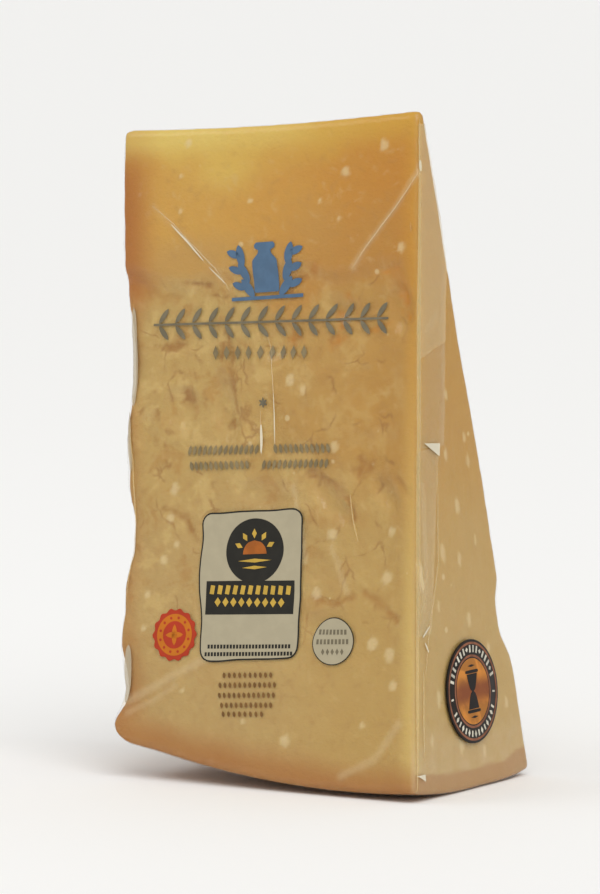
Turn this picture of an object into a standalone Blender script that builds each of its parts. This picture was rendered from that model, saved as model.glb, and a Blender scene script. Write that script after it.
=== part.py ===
"""A chunk of aged hard cheese, sealed tight in clear vacuum film and standing on its rind.

The chunk is one sector of a wheel: the wheel's axis runs left to right, the cut tip is on
top, the barrel-shaped rind is below. Row frame: +Z up, broken front face towards -Y, clean
cut side towards +X, origin on the floor under the middle of the chunk's box.
"""

import math

import bmesh
import bpy
from mathutils import Matrix, Vector, noise

MM = 0.001

# Driving dimensions of the chunk, as cut from a wheel 420 mm across.
RIND_RADIUS = 210 * MM
HALF_HEIGHT = 106.5 * MM
CUT_ANGLE = math.radians(18.1)
# How much thicker the back half grows, for each metre from the tip.
BACK_FLARE = 0.0145
TIP_THICKNESS = 4.0 * MM
EDGE_ROUND = 1.9 * MM
BARREL_DROP = 19 * MM
BARREL_POWER = 1.95
HEEL_ROUND = 6 * MM
TIP_RISE = 1.4 * MM
TIP_SAG = 1.3 * MM
LEAN = math.radians(5.0)
FLOOR_CUT = 1.7 * MM

# Where the rind bellies out behind the middle, which keeps the chunk standing.
BELLY_DEPTH = 2.1 * MM
BELLY_ACROSS = 64 * MM
BELLY_BACK = 12 * MM
BELLY_HALF_LENGTH = 34 * MM
BELLY_HALF_WIDTH = 26 * MM

# The grid that carries the relief, and the facets kept from it.
GRID_STEP = 2.0 * MM
ROUND_STATIONS = 3
FACETS_KEPT = 8600

# Relief of the two broken faces.
ROUGH_FROM = 46 * MM
ROUGH_TO = 158 * MM
SMOOTH_TIP = 30 * MM
RECESS = 1.1 * MM
LEDGE_HEIGHT = 1.5 * MM
LEDGE_SIZE = 24 * MM
LEDGE_TREADS = 3.2
SWELL_HEIGHT = 0.9 * MM
SWELL_SIZE = 46 * MM
BACK_OFFSET = Vector((3.7, 9.1, 5.3))

# Flakes gone from the front face: from the right edge, from the tip, half width, half
# height, depth and slant in degrees.
FLAKES = (
    (8.0, 60.0, 4.5, 9.0, 1.8, 8),
    (28.0, 59.0, 7.0, 4.0, 1.4, -20),
    (50.0, 68.0, 9.0, 6.0, 1.5, 25),
    (70.0, 88.0, 4.0, 13.0, 1.9, 8),
    (86.0, 88.0, 9.0, 7.0, 1.5, -12),
    (99.0, 93.0, 5.0, 6.0, 1.3, 0),
    (32.0, 118.0, 3.5, 11.0, 1.9, 40),
    (12.0, 117.0, 3.0, 8.0, 1.5, 40),
    (54.0, 116.0, 12.0, 5.0, 1.3, -8),
    (34.0, 156.0, 8.0, 4.0, 0.9, 30),
)

# Hollows along the front left edge, where crumbs are gone: from the tip, half length and
# depth. A negative depth is a swelling, as at the heel, where the rind stands out.
LEFT_HOLLOWS = (
    (24.0, 42.0, -0.9),
    (74.0, 24.0, 1.4),
    (127.0, 17.0, 2.2),
    (160.0, 10.0, -0.8),
    (177.0, 9.0, 0.8),
    (190.0, 15.0, -2.4),
)

# The dent in the back edge of the cut side, above the rind.
BACK_HOLLOWS = ((161.0, 15.0, 4.2),)
LEFT_REACH = 15 * MM
BACK_REACH = 30 * MM

# The pack's side seam, folded flat on the cut side, and the full corner that the film
# pulls out where the back edge meets the rind.
SEAM_WIDTH = 15 * MM
SEAM_THICKNESS = 0.6 * MM
SEAM_FROM = 16 * MM
SEAM_TO = 104 * MM
CORNER_DROP = 1.8 * MM
CORNER_PUSH = 0.8 * MM
CORNER_FROM = 172 * MM
CUT_SIDE_RIPPLE = 0.5 * MM
RIPPLE_SIZE = 22 * MM
RIPPLE_REACH = 27 * MM

# The round sticker on the cut side.
STICKER_RADIUS = 16 * MM
STICKER_THICKNESS = 0.6 * MM
STICKER_GAP = 0.3 * MM
STICKER_FROM_TIP = 179.8 * MM
STICKER_ACROSS = 3.2 * MM
STICKER_SIDES = 48
STICKER_EDGE = 0.15 * MM
STICKER_FLAT = 21 * MM
STICKER_FADE = 12 * MM

CHEESE_COLOUR = (0.50, 0.31, 0.11, 1.0)
STICKER_COLOUR = (0.03, 0.02, 0.015, 1.0)


def smoothstep(low, high, value):
    share = min(1.0, max(0.0, (value - low) / (high - low)))
    return share * share * (3 - 2 * share)


def stations(length):
    """Where the grid cuts one side: close together in both round edges, even between."""
    edge = [EDGE_ROUND * i / ROUND_STATIONS for i in range(1, ROUND_STATIONS + 1)]
    middle = length - 2 * EDGE_ROUND
    count = max(1, round(middle / GRID_STEP))
    even = [EDGE_ROUND + middle * i / count for i in range(1, count)]
    return edge + even + [length - e for e in reversed(edge)]


def gridded_box(sides):
    """A box with one corner at the origin, cut into a grid on every face."""
    grid = bmesh.new()
    bmesh.ops.create_cube(grid, size=1.0)
    bmesh.ops.translate(grid, verts=grid.verts, vec=(0.5, 0.5, 0.5))
    bmesh.ops.scale(grid, verts=grid.verts, vec=sides)
    for axis in range(3):
        normal = Vector([float(i == axis) for i in range(3)])
        for place in stations(sides[axis]):
            geometry = grid.verts[:] + grid.edges[:] + grid.faces[:]
            bmesh.ops.bisect_plane(
                grid, geom=geometry, plane_co=normal * place, plane_no=normal
            )
    return grid


def rounded(point, sides):
    """The same point on a box whose edges and corners are round."""
    inner = Vector(
        [min(max(c, EDGE_ROUND), s - EDGE_ROUND) for c, s in zip(point, sides)]
    )
    out = point - inner
    return inner + out.normalized() * EDGE_ROUND if out.length > EDGE_ROUND else point


def rind_radius(across):
    """Radius of the barrel-shaped rind, across the wheel from its middle to its flat."""
    radius = RIND_RADIUS - BARREL_DROP * (across / HALF_HEIGHT) ** BARREL_POWER
    into_heel = min(across - (HALF_HEIGHT - HEEL_ROUND), HEEL_ROUND)
    if into_heel > 0:
        radius -= HEEL_ROUND - math.sqrt(HEEL_ROUND**2 - into_heel**2)
    return radius


def half_thickness(radius):
    return TIP_THICKNESS / 2 + radius * math.tan(CUT_ANGLE / 2)


def ledges(place, size):
    """Noise in flat treads with steep steps between, from 0 to 1, as a split surface has."""
    level = LEDGE_TREADS * (0.5 + 0.5 * noise.fractal(place / size, 1.0, 2.0, 3))
    tread = math.floor(level)
    return (tread + smoothstep(0.62, 1.0, level - tread)) / LEDGE_TREADS


def flake_depth(across, radius):
    """Depth of the flakes gone at this place of the front face."""
    depth = 0.0
    for flake_across, flake_radius, half_width, half_height, deep, slant in FLAKES:
        turn = math.radians(slant)
        x = across / MM - flake_across
        z = radius / MM - flake_radius
        u = (x * math.cos(turn) + z * math.sin(turn)) / half_width
        v = (z * math.cos(turn) - x * math.sin(turn)) / half_height
        ragged = 0.25 * noise.noise(Vector((x, z, flake_across)) / 5.0)
        depth = max(depth, deep * MM * (1 - smoothstep(0.45, 1.15, math.hypot(u, v) + ragged)))
    return depth


def broken_depth(across, radius, recess, offset):
    """How far a broken face lies inside the sector's plane."""
    place = Vector((across, radius, 0.0)) + offset
    start = ROUGH_FROM + 6 * MM * noise.noise(Vector((across / (19 * MM), 2.0, offset.x)))
    rough = smoothstep(start - 2 * MM, start + 4 * MM, radius)
    rough *= 1 - 0.75 * smoothstep(ROUGH_TO - 20 * MM, ROUGH_TO + 22 * MM, radius)
    rough *= smoothstep(0.0, 16 * MM, across)
    swell = SWELL_HEIGHT * noise.noise(place / SWELL_SIZE)
    return swell + rough * (recess + LEDGE_HEIGHT * ledges(place, LEDGE_SIZE))


def hollow_depth(hollows, radius):
    """Depth of the hollows along an edge, at this distance from the tip."""
    depth = 0.0
    for centre, half_length, deep in hollows:
        reach = abs(radius / MM - centre) / half_length
        depth += deep * MM * (1 - smoothstep(0.2, 1.0, reach))
    return depth


def seam_height(radius, from_front):
    """The pack's side seam, folded flat against the cut side beside the front edge."""
    width = SEAM_WIDTH * smoothstep(0, 45 * MM, radius - SEAM_FROM + 20 * MM)
    beside = 1 - smoothstep(width - 1.2 * MM, width + 1.2 * MM, from_front)
    along = smoothstep(SEAM_FROM, SEAM_FROM + 6 * MM, radius)
    along *= 1 - smoothstep(SEAM_TO - 4 * MM, SEAM_TO + 4 * MM, radius)
    return SEAM_THICKNESS * beside * along


def sector_point(across, through, radius, sides):
    """Takes a point of the rounded box to the plain sector, tip up and rind down."""
    down = radius / RIND_RADIUS
    shrink = 1 - rind_radius(across) / RIND_RADIUS
    radius_here = radius * (1 - shrink * down**2)

    # The rounding keeps its size where the sector thins out towards the tip.
    middle = sides.y / 2
    signed = through - middle
    inside = middle - abs(signed)
    half = half_thickness(radius_here)
    if signed > 0:
        half += BACK_FLARE * radius_here
    if inside < EDGE_ROUND:
        depth = half - inside
    else:
        depth = (half - EDGE_ROUND) * abs(signed) / (middle - EDGE_ROUND)
    y = math.copysign(depth, signed)
    z = -math.sqrt(max(radius_here**2 - (y * down) ** 2, 0.0))

    share = across / HALF_HEIGHT
    tip_shift = TIP_RISE * (share - 0.5) - TIP_SAG * math.sin(math.pi * share)
    z += tip_shift * (1 - down) ** 3
    return Vector((-across, y, z)), radius_here


def chunk_point(point, sides):
    """Takes a point of the rounded box to the chunk, with its relief."""
    across, through, radius = point
    place, radius = sector_point(across, through, radius, sides)

    sideways = 2 * through / sides.y - 1
    front = smoothstep(0.1, 1.0, -sideways)
    back = smoothstep(0.1, 1.0, sideways)
    near_left = 1 - smoothstep(0, LEFT_REACH, HALF_HEIGHT - across)
    near_right = 1 - smoothstep(0, BACK_REACH, across)
    above_rind = smoothstep(0.99, 0.93, point.z / RIND_RADIUS)
    below_tip = smoothstep(0.0, SMOOTH_TIP, radius)

    inward = front * broken_depth(across, radius, RECESS, Vector((0, 0, 0)))
    inward += front * flake_depth(across, radius)
    inward -= back * broken_depth(across, radius, -RECESS, BACK_OFFSET)
    hollow = front * near_left * hollow_depth(LEFT_HOLLOWS, radius)
    place.x += hollow
    place.y += inward * above_rind * below_tip + 0.5 * hollow
    place.y -= back * near_right * hollow_depth(BACK_HOLLOWS, radius)

    to_sticker = math.hypot(place.y - STICKER_ACROSS, radius - STICKER_FROM_TIP)
    calm = smoothstep(STICKER_FLAT, STICKER_FLAT + STICKER_FADE, to_sticker)
    ripple = noise.noise(Vector((place.y, radius, 0.15)) / RIPPLE_SIZE)
    raised = calm * below_tip * CUT_SIDE_RIPPLE * ripple
    raised += seam_height(radius, place.y + half_thickness(radius))
    place.x += raised * smoothstep(RIPPLE_REACH, 0.0, across)

    u = (across - BELLY_ACROSS) / BELLY_HALF_LENGTH
    v = (place.y - BELLY_BACK) / BELLY_HALF_WIDTH
    belly = smoothstep(1.0, 0.3, math.hypot(u, v)) * (point.z / RIND_RADIUS) ** 8
    place.z -= BELLY_DEPTH * belly

    corner = back * near_right * smoothstep(CORNER_FROM, RIND_RADIUS, radius)
    place.y += CORNER_PUSH * corner
    place.z -= CORNER_DROP * corner
    return place


def kept_facets(bm, count):
    """The same shape with fewer triangles, kept where the relief bends most."""
    bmesh.ops.triangulate(bm, faces=bm.faces)
    share = count / len(bm.faces)
    mesh = bpy.data.meshes.new("dense_chunk")
    bm.to_mesh(mesh)
    dense = bpy.data.objects.new("dense_chunk", mesh)
    bpy.context.scene.collection.objects.link(dense)
    thin = dense.modifiers.new("fewer_facets", "DECIMATE")
    thin.ratio = share
    evaluated = dense.evaluated_get(bpy.context.evaluated_depsgraph_get())
    lighter = bpy.data.meshes.new_from_object(evaluated)
    bpy.data.objects.remove(dense)
    bpy.data.meshes.remove(mesh)
    return lighter


def flatten_base(bm, height):
    """Cuts the lowest part of the rind off level and closes the cut with one flat face."""
    cut = bmesh.ops.bisect_plane(
        bm,
        geom=bm.verts[:] + bm.edges[:] + bm.faces[:],
        plane_co=(0, 0, height),
        plane_no=(0, 0, -1),
        clear_outer=True,
    )
    rim = [e for e in cut["geom_cut"] if isinstance(e, bmesh.types.BMEdge)]
    bmesh.ops.contextual_create(bm, geom=rim)
    bmesh.ops.recalc_face_normals(bm, faces=bm.faces)


def material(name, colour, roughness):
    made = bpy.data.materials.new(name)
    made.use_nodes = True
    shader = made.node_tree.nodes["Principled BSDF"]
    shader.inputs["Base Color"].default_value = colour
    shader.inputs["Roughness"].default_value = roughness
    shader.inputs["Metallic"].default_value = 0.0
    return made


def build_chunk(collection):
    """The film-wrapped chunk, leaning on its barrel-shaped rind.

    Returns the move that set it down, for what is stuck on it.
    """
    thickness = 2 * half_thickness(RIND_RADIUS)
    sides = Vector((HALF_HEIGHT, thickness, RIND_RADIUS))
    bm = gridded_box(sides)
    for vertex in bm.verts:
        vertex.co = chunk_point(rounded(vertex.co, sides), sides)
    # The across axis of the box runs to -X, which turns the faces inside out.
    bmesh.ops.reverse_faces(bm, faces=bm.faces)

    mesh = kept_facets(bm, FACETS_KEPT)
    bm.clear()
    bm.from_mesh(mesh)
    bpy.data.meshes.remove(mesh)

    lean = Matrix.Rotation(-LEAN, 4, "Y")
    bm.transform(lean)
    flatten_base(bm, min(v.co.z for v in bm.verts) + FLOOR_CUT)
    low = Vector([min(v.co[i] for v in bm.verts) for i in range(3)])
    high = Vector([max(v.co[i] for v in bm.verts) for i in range(3)])
    middle = (low + high) / 2
    to_origin = Matrix.Translation((-middle.x, -middle.y, -low.z))
    bm.transform(to_origin)

    final = bpy.data.meshes.new("packed_chunk")
    bm.to_mesh(final)
    bm.free()
    final.materials.append(material("wrapped_cheese", CHEESE_COLOUR, 0.3))
    chunk = bpy.data.objects.new("packed_chunk", final)
    collection.objects.link(chunk)
    return to_origin @ lean


def build_sticker(collection, set_down):
    """The round sticker, a thin disc square to the wheel's axis, clear of the cut side."""
    bm = bmesh.new()
    bmesh.ops.create_cone(
        bm,
        cap_ends=True,
        segments=STICKER_SIDES,
        radius1=STICKER_RADIUS,
        radius2=STICKER_RADIUS,
        depth=STICKER_THICKNESS,
    )
    mesh = bpy.data.meshes.new("round_sticker")
    bm.to_mesh(mesh)
    bm.free()
    mesh.materials.append(material("sticker_paper", STICKER_COLOUR, 0.35))
    sticker = bpy.data.objects.new("round_sticker", mesh)
    stand_off = STICKER_GAP + STICKER_THICKNESS / 2
    on_face = Matrix.Translation((stand_off, STICKER_ACROSS, -STICKER_FROM_TIP))
    sticker.matrix_world = set_down @ on_face @ Matrix.Rotation(math.radians(90), 4, "Y")
    bevel = sticker.modifiers.new("soft_rim", "BEVEL")
    bevel.width = STICKER_EDGE
    bevel.segments = 1
    collection.objects.link(sticker)


def main():
    for old in list(bpy.data.objects):
        bpy.data.objects.remove(old)
    collection = bpy.data.collections.new("parmesan_chunk")
    bpy.context.scene.collection.children.link(collection)
    set_down = build_chunk(collection)
    build_sticker(collection, set_down)


main()
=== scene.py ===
import math

import bpy
from mathutils import Matrix, Vector, noise
from mathutils.bvhtree import BVHTree


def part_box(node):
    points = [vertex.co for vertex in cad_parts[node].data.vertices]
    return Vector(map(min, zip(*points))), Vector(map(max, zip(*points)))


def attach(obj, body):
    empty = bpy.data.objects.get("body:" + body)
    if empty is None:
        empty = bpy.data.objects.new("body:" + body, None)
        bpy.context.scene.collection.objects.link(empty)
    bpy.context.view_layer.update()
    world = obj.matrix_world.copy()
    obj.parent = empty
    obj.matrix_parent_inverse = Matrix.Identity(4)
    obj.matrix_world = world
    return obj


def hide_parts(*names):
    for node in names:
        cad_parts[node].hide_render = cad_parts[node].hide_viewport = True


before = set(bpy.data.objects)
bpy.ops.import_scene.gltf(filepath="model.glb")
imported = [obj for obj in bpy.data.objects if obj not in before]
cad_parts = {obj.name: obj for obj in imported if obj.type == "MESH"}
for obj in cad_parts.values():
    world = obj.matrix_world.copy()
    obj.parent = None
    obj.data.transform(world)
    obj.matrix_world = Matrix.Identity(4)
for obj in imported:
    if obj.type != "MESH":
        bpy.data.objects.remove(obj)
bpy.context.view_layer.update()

mm = 0.001


# The chunk's own axes, found from the round sticker's place: across the wheel from the cut
# side, back from the chunk's middle, and down from the tip, all in millimetres.
chunk = {
    "lean": math.radians(5.0),
    "halfAngle": math.radians(18.1 / 2),
    "tipHalf": 2.0,
    "width": 106.5,
    "rindRadius": 210.0,
    "stickerOut": 0.6,
    "stickerBack": 3.2,
    "stickerDown": 179.8,
}
stickerLow, stickerHigh = [Vector(corner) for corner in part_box("round_sticker")]
leanTurn = Matrix.Rotation(-chunk["lean"], 4, "Y")
stickerFromTip = Vector((chunk["stickerOut"], chunk["stickerBack"], -chunk["stickerDown"])) * mm
tipPlace = (stickerLow + stickerHigh) / 2 - leanTurn @ stickerFromTip
toWorld = Matrix.Translation(tipPlace) @ leanTurn
toChunk = toWorld.inverted()


# which way each side looks in the chunk's own axes; the edge is the one at the front right
diagonal = math.sqrt(0.5)
outward = {
    "front": Vector((0, -1, 0)),
    "cut": Vector((1, 0, 0)),
    "back": Vector((0, 1, 0)),
    "left": Vector((-1, 0, 0)),
    "edge": Vector((diagonal, -diagonal, 0)),
}


def smoothStep(low, high, value):
    share = min(1.0, max(0.0, (value - low) / (high - low)))
    return share * share * (3 - 2 * share)


def frontBack(down):
    # where the plain front face lies, in mm back from the middle
    return -(chunk["tipHalf"] + down * math.tan(chunk["halfAngle"]))


def newObject(name, data):
    made = bpy.data.objects.new(name, data)
    bpy.context.scene.collection.objects.link(made)
    return made


def activate(piece):
    bpy.ops.object.select_all(action="DESELECT")
    piece.select_set(True)
    bpy.context.view_layer.objects.active = piece


def applyAll(piece):
    activate(piece)
    for modifier in list(piece.modifiers):
        bpy.ops.object.modifier_apply(modifier=modifier.name)


def joinAll(pieces, name):
    bpy.ops.object.select_all(action="DESELECT")
    for piece in pieces:
        piece.select_set(True)
    bpy.context.view_layer.objects.active = pieces[0]
    bpy.ops.object.join()
    joined = bpy.context.view_layer.objects.active
    joined.name = name
    return joined


def finishPiece(piece, slot, *nodes):
    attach(piece, "root")
    if nodes:
        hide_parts(*nodes)


# Colours are written as they look on screen, from 0 to 255.
def paint(red, green, blue):
    def linear(value):
        value = value / 255
        return value / 12.92 if value <= 0.04045 else ((value + 0.055) / 1.055) ** 2.4

    return (linear(red), linear(green), linear(blue), 1.0)


def newMaterial(name):
    material = bpy.data.materials.new(name)
    material.use_nodes = True
    tree = material.node_tree
    return material, tree, tree.nodes["Principled BSDF"]


def addNode(tree, kind, inputs=(), **settings):
    node = tree.nodes.new(kind)
    for key, value in settings.items():
        setattr(node, key, value)
    for socket, value in dict(inputs).items():
        if isinstance(value, bpy.types.NodeSocket):
            tree.links.new(value, node.inputs[socket])
        else:
            node.inputs[socket].default_value = value
    return node


def setShader(shader, values):
    for socket, value in values.items():
        shader.inputs[socket].default_value = value


def chunkCoordinates(tree):
    # object coordinates turned to the chunk's own axes, from the tip
    place = addNode(tree, "ShaderNodeTexCoord").outputs["Object"]
    inputs = {"Vector": place, "Location": tipPlace, "Rotation": (0, -chunk["lean"], 0)}
    return addNode(tree, "ShaderNodeMapping", inputs, vector_type="TEXTURE").outputs["Vector"]


def noiseValue(tree, coordinates, size, detail=3.0, roughness=0.5, distortion=0.0):
    inputs = {"Vector": coordinates, "Scale": 1 / (size * mm), "Detail": detail}
    inputs.update({"Roughness": roughness, "Distortion": distortion})
    return addNode(tree, "ShaderNodeTexNoise", inputs).outputs["Fac"]


def remap(tree, value, low, high, toLow=0.0, toHigh=1.0):
    inputs = {"Value": value, "From Min": low, "From Max": high, "To Min": toLow, "To Max": toHigh}
    return addNode(tree, "ShaderNodeMapRange", inputs, interpolation_type="SMOOTHSTEP").outputs["Result"]


def calculate(tree, operation, first, second=0.0):
    return addNode(tree, "ShaderNodeMath", {0: first, 1: second}, operation=operation).outputs[0]


def times(tree, first, second):
    return calculate(tree, "MULTIPLY", first, second)


def vectorMath(tree, operation, first, second):
    return addNode(tree, "ShaderNodeVectorMath", {0: first, 1: second}, operation=operation).outputs[0]


def blendColour(tree, share, first, second):
    made = addNode(tree, "ShaderNodeMix", {0: share, 6: first, 7: second}, data_type="RGBA")
    return made.outputs[2]


def attributeValue(tree, name):
    return addNode(tree, "ShaderNodeAttribute", attribute_name=name).outputs["Fac"]


def weldPoints(distance, turnFaces=False):
    # points of the active piece that lie together become one
    bpy.ops.object.mode_set(mode="EDIT")
    bpy.ops.mesh.select_all(action="SELECT")
    bpy.ops.mesh.remove_doubles(threshold=distance)
    if turnFaces:
        bpy.ops.mesh.normals_make_consistent(inside=False)
    bpy.ops.object.mode_set(mode="OBJECT")


def newGrid(cuts):
    bpy.ops.mesh.primitive_grid_add(x_subdivisions=cuts[0], y_subdivisions=cuts[1], size=2)
    return bpy.context.active_object


def alongLine(points, share):
    # the place at this share, from 0 to 1, of a line of places
    reach = share * (len(points) - 1)
    low = min(int(reach), len(points) - 2)
    part = reach - low
    return [a * (1 - part) + b * part for a, b in zip(points[low], points[low + 1])]


def evenCopy(name, voxel, smoothing):
    # a copy of the CAD chunk on an even, fine grid that can be sculpted
    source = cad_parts["packed_chunk"]
    piece = newObject(name, source.data.copy())
    piece.data.materials.clear()
    activate(piece)
    weldPoints(0.00001)
    grid = piece.modifiers.new("evenGrid", "REMESH")
    grid.mode = "VOXEL"
    grid.voxel_size = voxel
    smooth = piece.modifiers.new("smoothSteps", "SMOOTH")
    smooth.factor = 0.5
    smooth.iterations = smoothing
    applyAll(piece)
    bpy.ops.object.shade_smooth()
    return piece


# Cheese
cheeseSet = {
    "voxel": 0.0009,
    "inset": 0.28,
    "roughFrom": 46.0,
    "roughTo": 165.0,
    "crumbDepth": 0.34,
    "crumbSize": 5.0,
    "grainDepth": 0.10,
    "grainSize": 1.8,
    "pitDepth": 0.5,
    "shader": {
        "Roughness": 0.55,
        "Specular IOR Level": 0.3,
        "Subsurface Weight": 0.2,
        "Subsurface Radius": (1.0, 0.45, 0.18),
        "Subsurface Scale": 0.0025,
    },
    # colour zones: where each starts and is whole, in mm down, then its right and left colour
    "zones": (
        (0, 0, (197, 149, 44), (210, 178, 84)),
        (4, 20, (187, 125, 28), (198, 150, 62)),
        (24, 44, (181, 126, 42), (187, 143, 69)),
        (48, 62, (180, 134, 57), (184, 151, 85)),
        (96, 136, (182, 147, 79), (181, 149, 89)),
    ),
    # hollows of the left edge that the film bridges: down, half length, depth
    "leftHollows": ((73, 19, 0.7), (103, 12, 0.5), (172, 13, 0.8), (35, 12, 0.3)),
    "leftReach": 9.0,
    # dents where flakes are gone, painted brown, partly as shade: across, down, half width, half height,
    # depth, slant
    "pits": (
        (5.6, 58, 2.6, 6.5, 1.0, 12), (26, 56, 3.4, 1.6, 0.7, -30), (45.3, 67, 3.2, 3.0, 0.7, 0),
        (29.9, 69, 3.6, 2.0, 0.6, 20), (20.2, 108, 3.8, 3.0, 1.0, 30), (38.3, 109, 2.6, 1.8, 0.7, 0),
        (67.3, 81, 1.3, 8.0, 0.9, 6), (84.4, 83, 2.6, 4.2, 0.8, 30), (95.5, 88, 1.6, 2.8, 0.7, 0),
        (67.3, 92, 1.8, 2.6, 0.6, 0), (70.6, 70, 1.4, 5.0, 0.6, -14), (11.2, 49, 5.0, 0.9, 0.6, 6),
        (79.8, 49, 6.0, 1.0, 0.5, -10), (43.5, 50, 4.0, 1.1, 0.6, 12), (29.3, 62, 1.3, 5.0, 0.6, 25),
        (37.4, 47, 1.4, 4.0, 0.5, -30), (89.8, 68, 5.0, 1.3, 0.5, 0), (15.2, 66, 4.0, 1.0, 0.5, 12),
    ),
    # cracks between flakes, as lines of places with a half width and a depth
    "cracks": (
        (((35.4, 110.5), (32.3, 112.4), (28.3, 115.0), (25.8, 117.8), (23.3, 123.5)), 1.1, 1.0),
        (((7.6, 112.0), (5.8, 113.7), (2.7, 117.8)), 1.0, 0.8),
        (((37.4, 147.0), (29.6, 149.4), (23.3, 147.2)), 0.9, 0.6),
        (((19.3, 146.0), (13.3, 149.2), (7.4, 154.8)), 1.0, 0.6),
        (((69.7, 64.0), (67.2, 72.0), (68.7, 80.0), (65.6, 90.0)), 0.8, 0.7),
        (((91.8, 118.0), (83.8, 121.0), (79.8, 128.0)), 0.8, 0.4),
    ),
    # long pale crystals of the cut side: back, down, size
    "cutCrystals": (
        (-0.4, 106.6, 2.4), (11.5, 102, 2.0), (13.0, 109.5, 2.2), (4.0, 122.5, 3.0), (-6.8, 136.2, 3.2),
        (2.9, 139.2, 2.6), (6.3, 158.1, 2.6), (-16.0, 180.3, 3.0), (14.0, 134, 2.0), (-12, 152, 2.0),
        (17.0, 168, 2.2), (-4.0, 196, 3.0), (10, 199, 2.2), (26, 186, 2.4), (-22, 192, 2.2), (2, 88, 1.8),
    ),
    # large white crystals of the front face: across, down, size
    "frontCrystals": (
        (12.3, 10.5, 3.4), (26.1, 17.8, 3.2), (83.1, 5.0, 2.6), (46.3, 80.5, 3.6), (41.6, 83.7, 2.8),
        (30.5, 101.6, 3.4), (88.2, 112.1, 3.6), (89.6, 121, 2.6), (87, 129.3, 2.4), (31.1, 128.2, 3.6),
        (9.9, 128, 2.8), (91.7, 133.8, 2.8), (11.3, 141.8, 4.0), (36.4, 145.9, 3.6), (97.6, 144.4, 2.2),
        (98.6, 154.8, 2.0), (16.1, 161.5, 4.2), (9.8, 164.9, 4.0), (8.4, 174.2, 3.2), (46.5, 190.3, 3.8),
        (6.3, 42.2, 2.8), (85.6, 15.1, 1.6), (60, 24.5, 1.8), (85.8, 26, 1.9), (100.9, 20, 1.3),
        (35.4, 26, 1.3), (28.3, 32, 1.8), (72.7, 196, 2.2), (19.3, 186, 2.0), (61.6, 184, 1.8),
        (83.8, 174, 1.6),
    ),
}


def lineReach(points, across, down):
    # distance from a line of places, in mm
    best = 1e9
    for (a0, d0), (a1, d1) in zip(points, points[1:]):
        da = a1 - a0
        dd = d1 - d0
        share = ((across - a0) * da + (down - d0) * dd) / (da * da + dd * dd)
        share = min(1.0, max(0.0, share))
        best = min(best, math.hypot(across - a0 - da * share, down - d0 - dd * share))
    return best


def ledgeNoise(place, size):
    # treads with steep steps between them, as a split cheese has
    level = 4.0 * (0.5 + 0.5 * noise.fractal(place / size, 1.0, 2.0, 3))
    tread = math.floor(level)
    return (tread + smoothStep(0.55, 1.0, level - tread)) / 4.0


def pitReach(across, down):
    # how deep the flakes' places are here, and how brown they are painted, partly as shade
    depth = 0.0
    brown = 0.0
    for pitAcross, pitDown, halfWide, halfHigh, deep, slant in cheeseSet["pits"]:
        x = across - pitAcross
        z = down - pitDown
        if abs(x) > 14 or abs(z) > 14:
            continue
        turn = math.radians(slant)
        u = (x * math.cos(turn) + z * math.sin(turn)) / halfWide
        v = (z * math.cos(turn) - x * math.sin(turn)) / halfHigh
        ragged = 0.7 * noise.fractal(Vector((x, z, pitAcross)) / 2.6, 0.8, 2.0, 3)
        inside = 1 - smoothStep(0.3, 1.3, math.hypot(u, v) + ragged)
        depth = max(depth, deep * inside)
        brown = max(brown, inside)
    for points, halfWide, deep in cheeseSet["cracks"]:
        away = lineReach(points, across, down)
        if away > 6:
            continue
        away *= 1 + 0.6 * noise.noise(Vector((across, down, 4.0)) / 3.0)
        inside = 1 - smoothStep(halfWide * 0.3, halfWide * 1.8, away)
        depth = max(depth, deep * inside)
        brown = max(brown, 0.9 * inside)
    return depth, brown


def crystalReach(sideways, down, crystals, tall=0.86):
    best = 0.0
    for crystalSideways, crystalDown, size in crystals:
        x = sideways - crystalSideways
        z = down - crystalDown
        if abs(x) > 4 or abs(z) > 5:
            continue
        ragged = 0.3 * noise.noise(Vector((x, z, crystalSideways)) / 1.4)
        inside = 1 - smoothStep(0.55, 1.15, 2 * math.hypot(x, z * tall) / size + ragged)
        best = max(best, inside)
    return best


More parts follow.
